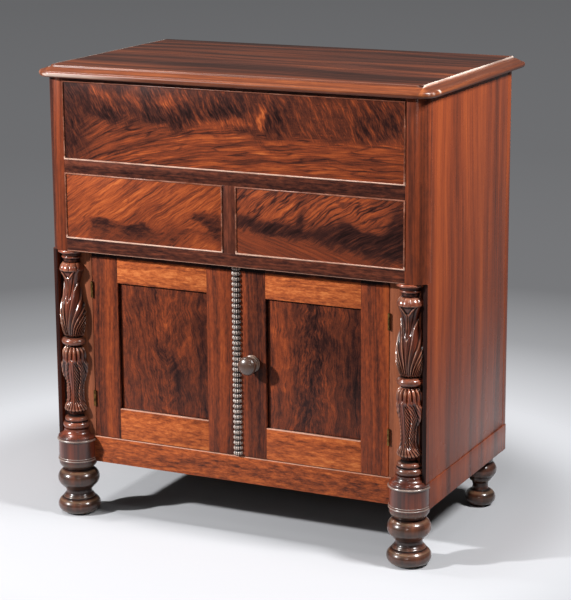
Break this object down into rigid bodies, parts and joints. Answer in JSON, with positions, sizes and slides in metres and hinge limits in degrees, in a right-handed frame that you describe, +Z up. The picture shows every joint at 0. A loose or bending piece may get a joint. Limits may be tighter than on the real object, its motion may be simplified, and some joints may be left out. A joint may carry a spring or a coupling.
{
  "type": "dry sink",
  "caption": "Veneered dry sink with a lift-up lid over a lined well, framed doors between carved half columns, a ring-turned astragal and turned feet.",
  "frame": {"origin": "middle of the bounding box's base, on the floor under the case", "axes": "+X to the right as seen from the front, +Y from the front towards the back, +Z up"},
  "size_m": [0.936, 0.559, 1.0265],
  "materials": {
    "mahogany": "old shellac, satin to gloss",
    "light_mahogany": "veneered, old shellac, gloss",
    "crotch_veneer": "figured veneer, old shellac, gloss",
    "bead_wood": "worn shellac",
    "turned_mahogany": "dark stain under gloss shellac",
    "secondary_wood": "bare, aged",
    "brass": "aged, dull",
    "zinc": "dull sheet metal",
    "leather": "dyed, matte"
  },
  "bodies": {
    "case": {"left_side_panel": "mahogany", "right_side_panel": "mahogany", "left_rear_stile": "mahogany", "right_rear_stile": "mahogany", "left_corner_post": "mahogany", "right_corner_post": "mahogany", "top_front_rail": "mahogany", "middle_rail": "mahogany", "waist_rail": "mahogany", "center_muntin": "mahogany", "upper_blind_front": "crotch_veneer", "left_blind_front": "crotch_veneer", "right_blind_front": "crotch_veneer", "upper_cockbead": "bead_wood", "left_cockbead": "bead_wood", "right_cockbead": "bead_wood", "left_front_stile": "light_mahogany", "right_front_stile": "light_mahogany", "front_plinth_rail": "light_mahogany", "left_plinth_rail": "mahogany", "right_plinth_rail": "mahogany", "rear_plinth_rail": "secondary_wood", "left_drum": "turned_mahogany", "right_drum": "turned_mahogany", "left_column": "turned_mahogany", "right_column": "turned_mahogany", "front_left_foot": "turned_mahogany", "front_right_foot": "turned_mahogany", "rear_left_foot": "turned_mahogany", "rear_right_foot": "turned_mahogany", "cupboard_floor": "secondary_wood", "well_floor": "secondary_wood", "well_liner": "zinc", "lower_back_board": "secondary_wood", "upper_back_board": "secondary_wood", "hinge_rail": "mahogany", "lid_rest_pads": "leather", "door_stops": "secondary_wood", "lid_hinge_case_leaves": "brass", "door_hinge_case_leaves": "brass"},
    "lid": {"lid_panel": "mahogany", "lid_battens": "mahogany", "lid_hinge_lid_leaves": "brass"},
    "left_door": {"left_door_outer_stile": "mahogany", "left_door_meeting_stile": "mahogany", "left_door_top_rail": "light_mahogany", "left_door_bottom_rail": "light_mahogany", "left_door_panel": "crotch_veneer", "left_door_hinge_leaves": "brass", "left_bolt_plate": "brass"},
    "left_bolt": {"left_bolt_rod": "brass"},
    "right_door": {"right_door_outer_stile": "mahogany", "right_door_meeting_stile": "mahogany", "right_door_top_rail": "light_mahogany", "right_door_bottom_rail": "light_mahogany", "right_door_panel": "crotch_veneer", "right_door_hinge_leaves": "brass", "astragal": "turned_mahogany"},
    "latch": {"door_knob": "turned_mahogany", "latch_bar": "secondary_wood"}
  },
  "joints": [
    {"name": "lid_hinge", "type": "hinge", "parent": "case", "child": "lid", "pos_m": [0, 0.247, 1.00125], "axis": [-1, 0, 0], "range_deg": [0, 95]},
    {"name": "left_door_hinge", "type": "hinge", "parent": "case", "child": "left_door", "pos_m": [-0.3594, -0.2307, 0.4], "axis": [0, 0, -1], "range_deg": [0, 100]},
    {"name": "right_door_hinge", "type": "hinge", "parent": "case", "child": "right_door", "pos_m": [0.3594, -0.2307, 0.4], "axis": [0, 0, 1], "range_deg": [0, 100]},
    {"name": "latch_turn", "type": "hinge", "parent": "right_door", "child": "latch", "pos_m": [0.038, -0.2285, 0.399], "axis": [0, 1, 0], "range_deg": [0, 90]},
    {"name": "left_bolt_slide", "type": "slide", "parent": "left_door", "child": "left_bolt", "axis": [0, 0, 1], "range_m": [0, 0.01]}
  ]
}
